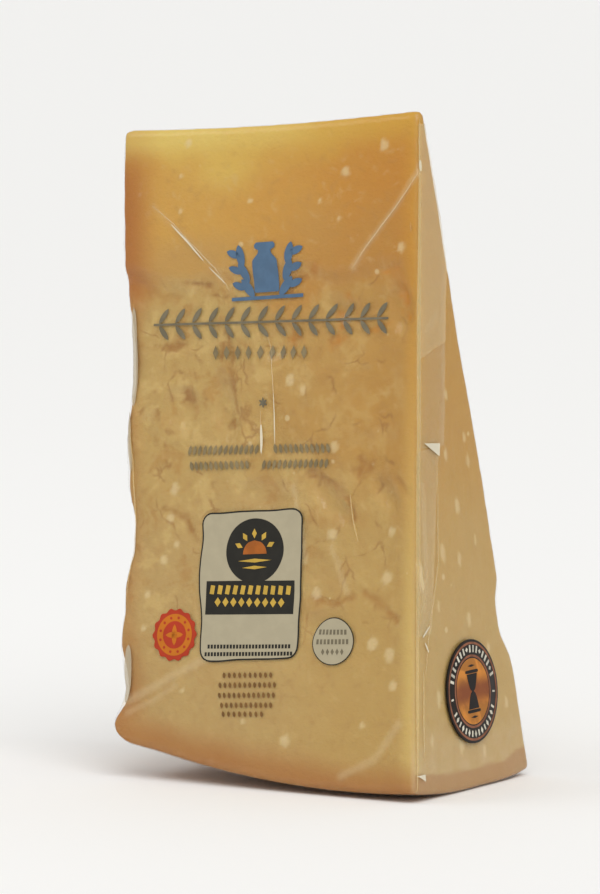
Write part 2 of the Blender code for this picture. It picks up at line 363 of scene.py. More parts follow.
def buildCheese():
    piece = evenCopy("cheese", cheeseSet["voxel"], 4)
    mesh = piece.data
    names = ("pit", "crystal", "rind", "rough", "edge", "ledge")
    values = {key: [0.0] * len(mesh.vertices) for key in names}
    turnOnly = toChunk.to_3x3()
    moved = []
    for index, vertex in enumerate(mesh.vertices):
        place = (toChunk @ vertex.co) / mm
        normal = turnOnly @ vertex.normal
        across, back, down = -place.x, place.y, -place.z
        front = smoothStep(0.55, 0.9, -normal.y)
        behind = smoothStep(0.55, 0.9, normal.y)
        cut = smoothStep(0.6, 0.9, normal.x)
        radius = math.hypot(back, down)
        start = cheeseSet["roughFrom"] + 6 * noise.noise(Vector((across / 19, 2, 0)))
        rough = smoothStep(start - 2, start + 4, down)
        calmer = 1 - 0.72 * smoothStep(cheeseSet["roughTo"] - 30, cheeseSet["roughTo"] + 8, down)
        broken = rough * calmer * (front + behind) * smoothStep(0.5, 9, across)

        ledge = ledgeNoise(place, cheeseSet["crumbSize"] * 2.4)
        crumb = ledgeNoise(place + Vector((31, 7, 3)), cheeseSet["crumbSize"])
        grain = noise.noise(place / cheeseSet["grainSize"])
        fine = noise.noise(place / 0.9)
        depth = cheeseSet["inset"]
        depth += broken * cheeseSet["crumbDepth"] * (0.6 * ledge + 0.5 * crumb)
        depth += (0.25 + 0.75 * broken) * cheeseSet["grainDepth"] * (grain + 0.5 * fine)
        pit = 0.0
        facing = front or behind
        if facing:
            # the back has the front's pits, turned round
            deep, pit = pitReach(across, down) if front else pitReach(chunk["width"] - across, down + 8)
            depth += facing * deep * cheeseSet["pitDepth"]
            pit *= facing
        step = Vector(normal) * -depth

        nearLeft = 1 - smoothStep(0, cheeseSet["leftReach"], chunk["width"] - across)
        for centre, halfLength, deep in cheeseSet["leftHollows"]:
            ragged = 2.5 * noise.noise(Vector((down, centre, 0)) / 4)
            inside = nearLeft * (1 - smoothStep(0.35, 1.0, abs(down + ragged - centre) / halfLength))
            if back < 0:
                fade = smoothStep(0, 12, -back)
                step.x += deep * inside * fade
                step.y += 0.35 * deep * inside * fade

        crystal = 0.0
        if front > 0:
            crystal = front * crystalReach(across, down, cheeseSet["frontCrystals"])
        elif behind > 0:
            crystal = behind * crystalReach(chunk["width"] - across, 200 - down, cheeseSet["frontCrystals"])
        elif cut > 0:
            crystal = cut * crystalReach(back, down, cheeseSet["cutCrystals"], 0.5)

        # rind: the barrel side below, and the wheel's flat side on the left
        wavy = 1.6 * noise.noise(Vector((across, back, 0)) / 14)
        fromRind = rindRadiusAt(across) - radius + wavy
        rindDepth = 6.3 + 2.2 * smoothStep(0, 60, across) * (1 - cut)
        soft = 5.6 - 5.0 * cut
        rind = 1 - smoothStep(rindDepth - soft, rindDepth + soft, fromRind)
        fromFlat = chunk["width"] - across + 1.2 * noise.noise(Vector((back, down, 5)) / 12)
        middleShare = smoothStep(46, 62, down) * (1 - smoothStep(150, 176, down))
        flatWidth = 15 - 7 * middleShare
        flatShare = (1 - 0.45 * middleShare) * (0.3 + 0.7 * smoothStep(2, 17, down))
        rind = max(rind, flatShare * (1 - smoothStep(1.0, flatWidth, fromFlat)))

        frontEdge = math.hypot(max(0, across), max(0, back - frontBack(down)) * 1.2)
        topEdge = down * 0.8
        edge = max(1 - smoothStep(1.5, 7.5, frontEdge), 1 - smoothStep(1, 14, topEdge))

        found = (pit, crystal, rind, broken, edge, broken * (0.6 * ledge + 0.4 * crumb))
        for key, value in zip(names, found):
            values[key][index] = value
        moved.append(toWorld @ ((place + step) * mm))
    for index, vertex in enumerate(mesh.vertices):
        vertex.co = moved[index]
    for key in names:
        mesh.attributes.new(key, "FLOAT", "POINT")
    for key in names:
        mesh.attributes[key].data.foreach_set("value", values[key])
    mesh.update()
    return piece


def rindRadiusAt(across):
    share = min(1.0, max(0.0, across / chunk["width"]))
    return chunk["rindRadius"] - 19 * share**1.95


def cheeseMaterial():
    material, tree, shader = newMaterial("agedCheese")
    place = chunkCoordinates(tree)
    parts = addNode(tree, "ShaderNodeSeparateXYZ", {"Vector": place})
    down = times(tree, parts.outputs["Z"], -1000.0)
    across = times(tree, parts.outputs["X"], -1000.0)

    # broad zones, from the yellow tip over the orange shoulder to the pale lower part, each a little paler
    # on the left than on the right. The tip's yellow and the shoulder's orange are partly painted light,
    # shining through where the chunk is thin.
    wide = noiseValue(tree, place, 42, 2.0)
    sway = remap(tree, wide, 0.3, 0.7, -8.0, 8.0)
    swayed = calculate(tree, "ADD", down, sway)
    leftShare = remap(tree, calculate(tree, "ADD", across, sway), 8.0, 76.0)
    body = None
    for start, end, right, left in cheeseSet["zones"]:
        zone = blendColour(tree, leftShare, paint(*right), paint(*left))
        body = blendColour(tree, remap(tree, swayed, start, end), body, zone) if body else zone

    # mottling of the broken faces: pale dry flakes over a darker, oily ground
    mottle = noiseValue(tree, place, 10, 6.0, 0.62, 0.35)
    small = noiseValue(tree, place, 3.6, 4.0, 0.6, 0.5)
    rough = attributeValue(tree, "rough")
    ledge = attributeValue(tree, "ledge")
    # the right part of the front is smoother than the left
    uneven = times(tree, rough, remap(tree, leftShare, 0.1, 0.9, 0.5, 1.0))
    paleShare = times(tree, remap(tree, mottle, 0.50, 0.62), uneven)
    pale = blendColour(tree, times(tree, paleShare, 0.50), body, paint(204, 174, 108))
    darkShare = times(tree, remap(tree, mottle, 0.47, 0.36), uneven)
    dark = blendColour(tree, times(tree, darkShare, 0.50), pale, paint(168, 120, 50))
    speckShare = times(tree, remap(tree, small, 0.56, 0.72), 0.28)
    speck = blendColour(tree, speckShare, dark, paint(202, 170, 112))
    lowShare = times(tree, remap(tree, small, 0.46, 0.30), 0.24)
    grainy = blendColour(tree, lowShare, speck, paint(160, 120, 64))
    # painted shade: the deeper steps of the broken face are darkened
    ledgeShadeShare = times(tree, remap(tree, ledge, 0.45, 0.75), 0.25)
    ledgeShaded = blendColour(tree, ledgeShadeShare, grainy, paint(166, 122, 62))

    # thin broken lines where flakes part, darkened as painted shade in the gaps
    drift = addNode(tree, "ShaderNodeTexNoise", {"Vector": place, "Scale": 1 / (6 * mm), "Detail": 3.0})
    pushed = vectorMath(tree, "ADD", drift.outputs["Color"], (-0.5,) * 3)
    scaled = vectorMath(tree, "MULTIPLY", pushed, (0.007,) * 3)
    bent = vectorMath(tree, "ADD", place, scaled)
    inputs = {"Vector": bent, "Scale": 1 / (13 * mm)}
    flakes = addNode(tree, "ShaderNodeTexVoronoi", inputs, feature="DISTANCE_TO_EDGE")
    line = remap(tree, flakes.outputs["Distance"], 0.05, 0.0)
    broken = times(tree, line, remap(tree, noiseValue(tree, place, 8, 2.0), 0.50, 0.62))
    crackShadeShare = times(tree, broken, times(tree, rough, 0.55))
    crackShaded = blendColour(tree, crackShadeShare, ledgeShaded, paint(146, 98, 40))

    # brown pits and cracks, the brown partly painted shade in the dents
    pit = attributeValue(tree, "pit")
    pitEdge = noiseValue(tree, place, 3.2, 3.0)
    pitShare = times(tree, pit, remap(tree, pitEdge, 0.3, 0.65, 0.35, 1.0))
    rightPit = blendColour(tree, remap(tree, down, 70.0, 100.0), paint(194, 126, 26), paint(162, 112, 44))
    pitBrownAndShade = blendColour(tree, leftShare, rightPit, paint(152, 104, 40))
    pitsAndShade = blendColour(tree, times(tree, pitShare, 0.92), crackShaded, pitBrownAndShade)

    # thin edges let light through and look yellow
    edge = attributeValue(tree, "edge")
    edgeColour = blendColour(
        tree, remap(tree, down, 40.0, 170.0), paint(193, 137, 35), paint(203, 172, 98)
    )
    tipShare = remap(tree, down, 14.0, 4.0)
    tipColour = blendColour(tree, leftShare, paint(200, 150, 42), paint(214, 186, 96))
    thinColour = blendColour(tree, tipShare, edgeColour, tipColour)
    edged = blendColour(tree, times(tree, edge, 0.85), pitsAndShade, thinColour)

    # crystals, the large ones by place and the small ones all over
    cells = addNode(tree, "ShaderNodeTexVoronoi", {"Vector": place, "Scale": 1 / (7.5 * mm)})
    cellSize = remap(tree, cells.outputs["Color"], 0.55, 1.0, 0.0, 0.2)
    nearCell = calculate(tree, "SUBTRACT", cellSize, cells.outputs["Distance"])
    dots = remap(tree, nearCell, 0.0, 0.09)
    specks = addNode(tree, "ShaderNodeTexVoronoi", {"Vector": place, "Scale": 1 / (3.4 * mm)})
    speckSize = remap(tree, specks.outputs["Color"], 0.62, 1.0, 0.0, 0.16)
    speckDots = remap(tree, calculate(tree, "SUBTRACT", speckSize, specks.outputs["Distance"]), 0.0, 0.08)
    small = calculate(tree, "MAXIMUM", dots, times(tree, speckDots, 0.7))
    crystal = calculate(tree, "MAXIMUM", attributeValue(tree, "crystal"), small)
    crystalShare = times(tree, crystal, 0.6)

    # the clean cut on the right is golden above, drier and paler towards the rind
    cutSide = remap(tree, across, 2.4, 0.8)
    cutColour = blendColour(tree, remap(tree, down, 70.0, 185.0), paint(187, 141, 62), paint(190, 160, 103))
    nearRind = times(tree, remap(tree, down, 184.0, 202.0), 0.7)
    cutColour = blendColour(tree, nearRind, cutColour, paint(202, 178, 138))
    cutGrain = remap(tree, noiseValue(tree, place, 7, 4.0, 0.6), 0.3, 0.7, 0.45, 0.8)
    dried = blendColour(tree, times(tree, cutSide, cutGrain), edged, cutColour)
    crystalled = blendColour(tree, crystalShare, dried, paint(216, 194, 146))

    # rind
    rind = attributeValue(tree, "rind")
    rindGrain = noiseValue(tree, place, 9, 4.0, 0.6)
    rindColour = blendColour(tree, rindGrain, paint(156, 93, 29), paint(170, 116, 51))
    highUp = remap(tree, down, 84.0, 52.0)
    highRind = blendColour(tree, highUp, rindColour, paint(163, 92, 14))
    sideRind = blendColour(tree, cutSide, highRind, paint(174, 132, 84))
    rinded = blendColour(tree, times(tree, rind, 0.85), crystalled, sideRind)

    tree.links.new(rinded, shader.inputs["Base Color"])
    setShader(shader, cheeseSet["shader"])
    gritHeight = noiseValue(tree, place, 1.1, 4.0, 0.65)
    coarse = noiseValue(tree, place, 3.2, 3.0, 0.6)
    height = calculate(tree, "ADD", gritHeight, times(tree, coarse, 2.0))
    grit = addNode(tree, "ShaderNodeBump", {"Height": height, "Strength": 0.5, "Distance": 0.0004})
    tree.links.new(grit.outputs["Normal"], shader.inputs["Normal"])
    return material


cheese = buildCheese()
cheese.data.materials.append(cheeseMaterial())
finishPiece(cheese, "wrapped_cheese", "packed_chunk")
print("cheese made,", len(cheese.data.polygons), "faces")


# Film
filmSet = {
    "voxel": 0.0011,
    "outset": 0.06,
    "glossRoughness": 0.13,
    "glanceSharpness": 4.0,
    "mirrorAhead": 0.035,
    "mirrorAcross": 0.45,
    "haze": 0.015,
    "rippleSize": 26.0,
    "rippleDepth": 0.12,
    "foldHeight": 0.14,
    "foldHaze": 0.3,
    "wrinkle": 0.25,
    # soft folds: side, places along the line, width, strength
    "folds": (
        ("front", ((104.8, 177.5), (96.0, 173.8), (84.4, 168.4), (75.0, 164.6)), 4.6, 0.7),
        ("front", ((103.5, 180.5), (94.0, 177.0), (86.0, 172.6)), 3.4, 0.5),
        ("front", ((45.0, 113.0), (42.6, 124.0), (40.4, 136.0)), 3.0, 0.7),
        ("front", ((31.0, 132.0), (27.5, 141.0), (25.0, 146.0)), 3.0, 0.6),
        ("front", ((6.0, 186.0), (14.0, 196.0), (26.0, 201.0)), 4.4, 0.6),
        ("front", ((-1.4, 17.4), (8.2, 30.0), (19.0, 41.7), (23.5, 47.4)), 3.4, 0.7),
        ("front", ((95.9, 23.8), (82.8, 35.2), (72.6, 44.6), (68.3, 51.8)), 3.0, 0.4),
        ("cut", ((-17.0, 114.0), (-18.8, 140.0), (-22.4, 152.0)), 3.4, 0.6),
        ("cut", ((-22.6, 139.3), (-22.0, 145.6)), 3.8, 1.9),
        ("cut", ((-2.0, 63.0), (-6.0, 66.0), (-9.0, 68.0)), 3.0, 0.6),
        ("back", ((92.0, 168.0), (70.0, 174.0), (44.0, 172.0)), 4.6, 0.7),
        ("back", ((92.0, 14.0), (74.0, 33.0), (61.0, 47.0)), 3.2, 0.6),
        ("back", ((60.0, 104.0), (57.0, 122.0), (52.0, 136.0)), 3.2, 0.6),
        ("left", ((18.0, 118.0), (6.0, 126.0), (-8.0, 128.0)), 4.0, 0.5),
        ("left", ((-25.0, 152.0), (-10.0, 164.0), (14.0, 168.0)), 4.4, 0.6),
    ),
}


def foldReach(place, normal):
    # how far the film is gathered in a soft fold here
    best = 0.0
    for side, points, wide, strength in filmSet["folds"]:
        if normal.dot(outward[side]) < 0.6:
            continue
        sideways = place.y if side in ("cut", "left") else -place.x
        away = lineReach(points, sideways, -place.z)
        away += 0.3 * noise.noise(place / 4.0)
        best = max(best, strength * (1 - smoothStep(0.05, 0.5, away / wide)))
    return best


def buildFilm():
    piece = evenCopy("film", filmSet["voxel"], 8)
    turnOnly = toChunk.to_3x3()
    moved = []
    folds = []
    for vertex in piece.data.vertices:
        fold = foldReach((toChunk @ vertex.co) / mm, turnOnly @ vertex.normal)
        ripple = noise.noise(vertex.co / (filmSet["rippleSize"] * mm))
        out = filmSet["outset"] + filmSet["rippleDepth"] * ripple + filmSet["foldHeight"] * fold
        moved.append(vertex.co + vertex.normal * out * mm)
        folds.append(fold)
    for vertex, place in zip(piece.data.vertices, moved):
        vertex.co = (place.x, place.y, max(0.0, place.z))
    piece.data.attributes.new("fold", "FLOAT", "POINT")
    piece.data.attributes["fold"].data.foreach_set("value", folds)
    piece.data.update()
    return piece


def filmMaterial(name, haze, roughness, wrinkle, ahead, glance):
    # clear film: a gloss over whatever lies behind it, with a little white haze
    material, tree, shader = newMaterial(name)
    place = chunkCoordinates(tree)
    stretched = addNode(tree, "ShaderNodeMapping", {"Vector": place, "Scale": (1.0, 1.0, 0.35)})
    wave = noiseValue(tree, stretched.outputs["Vector"], 9, 3.0, 0.55, 1.2)
    fold = addNode(tree, "ShaderNodeBump", {"Height": wave, "Strength": wrinkle, "Distance": 0.0012})
    inputs = {"Roughness": roughness, "Normal": fold.outputs["Normal"]}
    gloss = addNode(tree, "ShaderNodeBsdfGlossy", inputs)
    clear = addNode(tree, "ShaderNodeBsdfTransparent")
    white = addNode(tree, "ShaderNodeBsdfDiffuse", {"Color": paint(246, 224, 174)})
    gathered = times(tree, attributeValue(tree, "fold"), filmSet["foldHaze"])
    share = calculate(tree, "ADD", gathered, haze)
    veil = addNode(tree, "ShaderNodeMixShader", {0: share, 1: clear.outputs[0], 2: white.outputs[0]})
    facing = addNode(tree, "ShaderNodeLayerWeight", {"Blend": 0.5}).outputs["Facing"]
    steep = calculate(tree, "POWER", facing, filmSet["glanceSharpness"])
    mirror = remap(tree, steep, 0.0, 1.0, ahead, glance)
    whole = addNode(tree, "ShaderNodeMixShader", {0: mirror, 1: veil.outputs[0], 2: gloss.outputs[0]})
    tree.nodes.remove(shader)
    tree.links.new(whole.outputs[0], tree.nodes["Material Output"].inputs["Surface"])
    return material


film = buildFilm()
film.data.materials.append(
    filmMaterial(
        "clearFilm", filmSet["haze"], filmSet["glossRoughness"], filmSet["wrinkle"],
        filmSet["mirrorAhead"], filmSet["mirrorAcross"],
    )
)
finishPiece(film, "wrapped_cheese", "packed_chunk")
filmTree = BVHTree.FromObject(film, bpy.context.evaluated_depsgraph_get())
print("film made,", len(film.data.polygons), "faces")


# Print and labels are modelled flat, across and down from the tip, and then pressed on the film.
# Each layer of print lies a little higher above the film than the one before.
printSet = {"thickness": 0.04, "layers": (0.04, 0.09, 0.14, 0.19)}


def pressOn(piece, side, lift):
    # the flat piece's height above its own plane is kept above the film
    out = outward[side]
    worldOut = toWorld.to_3x3() @ out
    for vertex in piece.data.vertices:
        local = vertex.co.copy()
        height = local.dot(out)
        start = toWorld @ (local - out * height + out * 0.12)
        hit = filmTree.ray_cast(start, -worldOut)[0]
        if hit is None:
            hit = filmTree.find_nearest(toWorld @ local)[0]
        vertex.co = hit + worldOut * (lift * mm + height)
    piece.data.update()


def flatPatch(cuts, shape, side, middle, tilt=0.0):
    # a grid given its outline by shape(u, v), both from -1 to 1, which returns mm
    piece = newGrid(cuts)
    turn = math.radians(tilt)
    for vertex in piece.data.vertices:
        x, z = shape(vertex.co.x, vertex.co.y)
        x, z = x * math.cos(turn) - z * math.sin(turn), x * math.sin(turn) + z * math.cos(turn)
        if side == "cut":
            vertex.co = Vector((0, x + middle[0], z - middle[1])) * mm
        elif side == "edge":
            onEdge = diagonal * (x + middle[0])
            vertex.co = Vector((onEdge, onEdge, z - middle[1])) * mm
        else:
            turned = x if side == "front" else -x
            vertex.co = Vector((turned - middle[0], 0, z - middle[1])) * mm
    weldPoints(0.00002, True)
    # a lone sheet has no inside, so it is turned by hand where it looks away
    if piece.data.polygons[0].normal.dot(outward[side]) < 0:
        piece.data.flip_normals()
    return piece


def frontPatch(cuts, shape, middle, tilt=0.0):
    return flatPatch(cuts, shape, "front", middle, tilt)


def rectangle(width, height, corner=0.0):
    def shape(u, v):
        x = u * width / 2
        z = v * height / 2
        pastX = abs(x) - (width / 2 - corner)
        pastZ = abs(z) - (height / 2 - corner)
        if corner and pastX > 0 and pastZ > 0:
            shrink = max(pastX, pastZ) / math.hypot(pastX, pastZ)
            x = math.copysign(width / 2 - corner + pastX * shrink, x)
            z = math.copysign(height / 2 - corner + pastZ * shrink, z)
        return x, z

    return shape


def disc(width, height, scallops=0, scallopDepth=0.0):
    def shape(u, v):
        x = u * math.sqrt(1 - v * v / 2)
        z = v * math.sqrt(1 - u * u / 2)
        reach = math.hypot(x, z)
        swell = 1 + scallopDepth * reach**4 * math.cos(scallops * math.atan2(z, x))
        return x * swell * width / 2, z * swell * height / 2

    return shape


def leaf(width, height, power=0.7):
    return lambda u, v: (u * width / 2 * max(0.0, 1 - v * v) ** power, v * height / 2)


def lozenge(width, height):
    return lambda u, v: (u * width / 2 * (1 - abs(v)), v * height / 2)


def cornerFlap(width, height):
    # a right-angled triangle, flat above and upright on its right
    return lambda u, v: (width / 2 * (1 - (1 - u) * (1 + v) / 2), v * height / 2)


def ribbon(side, points, wide, power=0.5):
    # a narrow strip along a line of places, tapering to both ends
    sign = -1 if side == "front" else 1
    runSideways = points[-1][0] - points[0][0]
    runDown = points[-1][1] - points[0][1]
    run = math.hypot(runSideways, runDown)

    def shape(u, v):
        sideways, down = alongLine(points, (1 - v) / 2)
        off = u * wide / 2 * max(0.0, 1 - v * v) ** power
        return sign * (sideways + off * runDown / run), off * runSideways / run - down

    return flatPatch((2, 12 * len(points)), shape, side, (0, 0))


def giveWall(piece, thickness, angle):
    # a flat sheet gets its thickness outward and keeps its sharp rim
    wall = piece.modifiers.new("wall", "SOLIDIFY")
    wall.thickness = thickness * mm
    wall.offset = 1.0
    applyAll(piece)
    bpy.ops.object.shade_smooth_by_angle(angle=math.radians(angle))


def stamp(parts, name, side, lift, material):
    # joins flat patches to one thin printed piece on the film
    piece = joinAll(parts, name)
    pressOn(piece, side, lift)
    giveWall(piece, printSet["thickness"], 40)
    piece.data.materials.append(material)
    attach(piece, "root")


def inkMaterial(name, colour, wear):
    # flat ink with faint unevenness, under the gloss of the film
    material, tree, shader = newMaterial(name)
    place = chunkCoordinates(tree)
    uneven = noiseValue(tree, place, 4.0, 3.0)
    worn = [min(1.0, channel * wear) for channel in colour[:3]] + [1.0]
    share = remap(tree, uneven, 0.35, 0.7)
    tree.links.new(blendColour(tree, share, colour, worn), shader.inputs["Base Color"])
    setShader(shader, {"Roughness": 0.42, "Specular IOR Level": 0.25})
    setShader(shader, {"Coat Weight": 0.1, "Coat Roughness": 0.15})
    return material


inks = {
    "blue": inkMaterial("blueInk", paint(76, 102, 128), 1.15),
    "grey": inkMaterial("greyInk", paint(106, 98, 78), 1.3),
    "paleGrey": inkMaterial("paleGreyInk", paint(120, 106, 76), 1.35),
    "brown": inkMaterial("brownInk", paint(110, 78, 40), 1.3),
    "black": inkMaterial("blackInk", paint(30, 28, 22), 1.3),
    "white": inkMaterial("labelWhite", paint(168, 158, 132), 1.06),
    "orange": inkMaterial("orangeInk", paint(152, 84, 26), 1.3),
    "yellow": inkMaterial("yellowInk", paint(186, 152, 62), 1.15),
    "red": inkMaterial("redInk", paint(166, 50, 22), 1.15),
    "sealOrange": inkMaterial("sealOrange", paint(188, 106, 18), 1.1),
}


def printFront(parts, name, layer, ink):
    stamp(parts, name, "front", printSet["layers"][layer], inks[ink])


def beadRow(across, down, count, shape, cuts=(4, 8), tilt=0.0):
    # a straight row of like shapes, from the first place to the last
    made = []
    for index in range(count):
        share = index / (count - 1)
        x = across[0] + (across[1] - across[0]) * share
        z = down[0] + (down[1] - down[0]) * share
        made.append(frontPatch(cuts, shape, (x, z), tilt))
    return made


# Blue emblem: a milk churn between two sprays of leaves.
emblemSet = {"middle": (54.6, 45.3), "churn": (8.6, 15.5), "leafSize": (2.9, 7.4), "reach": 10.2}


def churnShape(u, v):
    width, height = emblemSet["churn"]
    body = 1.0 if v < 0.25 else 1.0 - 0.48 * smoothStep(0.25, 0.62, v)
    lid = 0.34 * smoothStep(0.74, 0.78, v) * (1 - 0.5 * smoothStep(0.9, 1.0, v))
    foot = -0.08 * smoothStep(-0.9, -1.0, v)
    return u * width / 2 * (body + lid + foot), v * height / 2


def buildEmblem():
    x, z = emblemSet["middle"]
    width, height = emblemSet["leafSize"]
    parts = [frontPatch((10, 26), churnShape, (x, z))]
    parts.append(frontPatch((14, 3), rectangle(25.5, 1.1), (x, z + 9.4)))
    for side in (-1, 1):
        for row in range(3):
            place = (x + side * (6.6 + 1.0 * row), z + 6.2 - 5.0 * row)
            parts.append(frontPatch((4, 10), leaf(width, height), place, side * (38 - 12 * row)))
            outer = (x + side * (9.9 + 0.6 * row), z + 5.4 - 5.0 * row)
            parts.append(frontPatch((4, 8), leaf(width * 0.8, height * 0.72), outer, side * 68))
    printFront(parts, "blueEmblem", 0, "blue")


buildEmblem()


# Grey garland under the emblem, and smaller rows below it.
garlandSet = {"from": (96.0, 61.0), "to": (11.7, 63.4), "leaves": 14, "leafSize": (1.7, 5.6)}


def buildGarland():
    parts = []
    x0, z0 = garlandSet["from"]
    x1, z1 = garlandSet["to"]
    slope = math.degrees(math.atan2(z1 - z0, x0 - x1))
    middle = ((x0 + x1) / 2, (z0 + z1) / 2)
    parts.append(frontPatch((60, 2), rectangle(x0 - x1, 0.7), middle, -slope))
    width, height = garlandSet["leafSize"]
    for index in range(garlandSet["leaves"]):
        share = (index + 0.5) / garlandSet["leaves"]
        x = x0 + (x1 - x0) * share
        z = z0 + (z1 - z0) * share
        for side in (-1, 1):
            place = (x - 0.8, z - side * 2.6)
            parts.append(frontPatch((4, 8), leaf(width, height), place, -side * 38))
    printFront(parts, "leafGarland", 0, "grey")


buildGarland()
printFront(beadRow((73.1, 41.0), (70.8, 72.2), 9, lozenge(2.2, 4.4)), "diamondRow", 0, "paleGrey")
petals = [frontPatch((3, 6), leaf(0.9, 3.4), (56.0, 87.0), angle) for angle in (0, 60, 120)]
printFront(petals, "smallPetals", 0, "grey")
greyRows = beadRow((82.6, 58.2), (100.6, 101.2), 14, leaf(1.25, 3.2), (2, 5), -14)
greyRows += beadRow((51.5, 32.4), (101.3, 101.9), 11, leaf(1.25, 3.2), (2, 5), 14)
greyRows += beadRow((81.8, 61.6), (105.4, 105.8), 12, leaf(1.25, 3.0), (2, 5), 14)
greyRows += beadRow((55.5, 33.0), (106.0, 106.5), 13, leaf(1.25, 3.0), (2, 5), -14)
printFront(greyRows, "greyRows", 0, "paleGrey")


# White label with a dark rim, a round badge and a dark band.
labelSet = {
    "middle": (59.4, 142.7),
    "size": (34.6, 44.6),
    "round": 3.2,
    "rim": 0.5,
    "tilt": 0.4,
    "sunPlace": (58.4, 133.2),
    "sunReach": 4.2,
    "rayReach": 6.3,
}


def labelShape(grow):
    width, height = labelSet["size"]
    plain = rectangle(width + 2 * grow, height + 2 * grow, labelSet["round"] + grow)

    def shape(u, v):
        x, z = plain(u, v)
        # the film has pulled the label's long sides into waves
        x += 0.55 * u * noise.noise(Vector((math.copysign(3.0, u), z / 9.0, 0.3)))
        x += -1.0 * math.exp(-((z - 1.0) / 9.0) ** 2) * max(0.0, -u) + 0.9 * max(0.0, u) * (v * 0.8)
        z += 0.4 * v * noise.noise(Vector((x / 8.0, math.copysign(5.0, v), 0.7)))
        return x, z

    return shape


def sunShape(u, v):
    # a half disc, flat side down
    height = (v + 1) / 2
    reach = labelSet["sunReach"]
    return u * reach * math.sqrt(max(0.0, 1 - height * height)), height * reach


def buildLabel():
    middle = labelSet["middle"]
    tilt = labelSet["tilt"]
    rim = frontPatch((30, 40), labelShape(labelSet["rim"]), middle, tilt)
    printFront([rim], "labelRim", 0, "black")
    face = frontPatch((30, 40), labelShape(0.0), middle, tilt)
    printFront([face], "labelFace", 1, "white")
    badge = frontPatch((20, 20), disc(20.6, 19.8), (58.4, 132.2))
    band = frontPatch((30, 12), rectangle(31.4, 10.2), (59.8, 146.4), -1.4)
    printFront([badge, band], "labelBadge", 2, "black")
    small = beadRow((74.0, 45.4), (160.9, 161.6), 26, rectangle(0.75, 1.2), (1, 2))
    small += beadRow((75.0, 44.6), (163.2, 163.8), 28, rectangle(0.75, 1.2), (1, 2))
    printFront(small, "labelRows", 2, "black")

    # the badge's own picture: a low sun with rays over a field
    across, down = labelSet["sunPlace"]
    sun = [frontPatch((12, 8), sunShape, (across, down))]
    printFront(sun, "badgeSun", 3, "orange")
    rays = []
    for angle in (-64, -32, 0, 32, 64):
        turn = math.radians(angle)
        reach = labelSet["rayReach"]
        place = (across - reach * math.sin(turn), down - reach * math.cos(turn))
        rays.append(frontPatch((3, 6), lozenge(1.7, 3.0), place, -angle))
    rays.append(frontPatch((12, 2), leaf(12.0, 1.2, 0.2), (58.4, 135.2)))
    rays.append(frontPatch((10, 2), leaf(9.0, 1.1, 0.2), (58.4, 137.3)))
    rays += beadRow((73.2, 46.2), (143.6, 144.6), 11, rectangle(1.5, 2.7), (2, 3), -10)
    rays += beadRow((71.2, 48.6), (147.4, 148.3), 9, lozenge(2.2, 2.9), (3, 4))
    printFront(rays, "badgeYellow", 3, "yellow")


buildLabel()


# Round seal on the left and the small round label on the right.
sealSet = {"middle": (86.7, 157.0), "size": 15.6, "scallops": 14}
circleSet = {"middle": (29.8, 160.5), "size": (14.9, 14.4), "rim": 0.3}


def buildSeal():
    size = sealSet["size"]
    middle = sealSet["middle"]
    edge = frontPatch((26, 26), disc(size, size, sealSet["scallops"], 0.045), middle)
    printFront([edge], "sealEdge", 0, "red")
    ring = frontPatch((20, 20), disc(size * 0.82, size * 0.82), middle)
    printFront([ring], "sealRing", 1, "sealOrange")
    marks = [frontPatch((14, 14), disc(size * 0.54, size * 0.54), middle)]
    for index in range(12):
        turn = math.radians(30 * index + 15)
        place = (middle[0] - size * 0.34 * math.sin(turn), middle[1] - size * 0.34 * math.cos(turn))
        marks.append(frontPatch((2, 3), disc(0.9, 0.9), place))
    printFront(marks, "sealHeart", 2, "red")
    petals = [frontPatch((4, 8), leaf(1.9, 6.4), middle, angle) for angle in (0, 90)]
    printFront(petals, "sealPetals", 3, "sealOrange")


def buildCircle():
    middle = circleSet["middle"]
    width, height = circleSet["size"]
    rim = circleSet["rim"]
    edge = frontPatch((20, 20), disc(width, height), middle)
    printFront([edge], "circleRim", 0, "black")
    face = frontPatch((20, 20), disc(width - 2 * rim, height - 2 * rim), middle)
    printFront([face], "circleFace", 1, "white")
    rows = beadRow((34.7, 25.3), (157.6, 157.8), 8, rectangle(0.8, 1.5), (1, 2))
    rows += beadRow((35.3, 24.7), (160.5, 160.7), 9, rectangle(0.8, 1.5), (1, 2))
    rows += beadRow((33.3, 26.5), (163.6, 163.7), 5, lozenge(1.2, 2.0), (2, 2))
    printFront(rows, "circleRows", 2, "grey")


buildSeal()
buildCircle()

brownRows = []
for start, end, height, count in (
    (68.2, 51.6, 169.8, 10),
    (69.6, 50.2, 172.8, 12),
    (69.8, 50.5, 175.9, 12),
    (69.0, 51.4, 178.9, 11),
    (68.4, 54.6, 181.6, 8),
):
    brownRows += beadRow((start, end), (height, height + 0.3), count, leaf(1.05, 1.9), (2, 4), 10)
printFront(brownRows, "brownRows", 0, "brown")
print("print and labels made")


# Round sticker: black foil with copper rims, pale marks and an orange metal centre.
stickerSet = {
    "radius": 16.0,
    "thickness": 0.6,
    "rims": (15.2, 11.3),
    "rimWidth": 0.7,
    "rimSoftness": 0.16,
    "centre": 10.2,
    "markReach": 13.1,
    "foil": 0.05,
}


def sideMatrix():
    # flat in X and Y with +Z out of the cut side
    return toWorld @ Matrix.Translation(stickerFromTip) @ Matrix.Rotation(math.radians(90), 4, "Y")


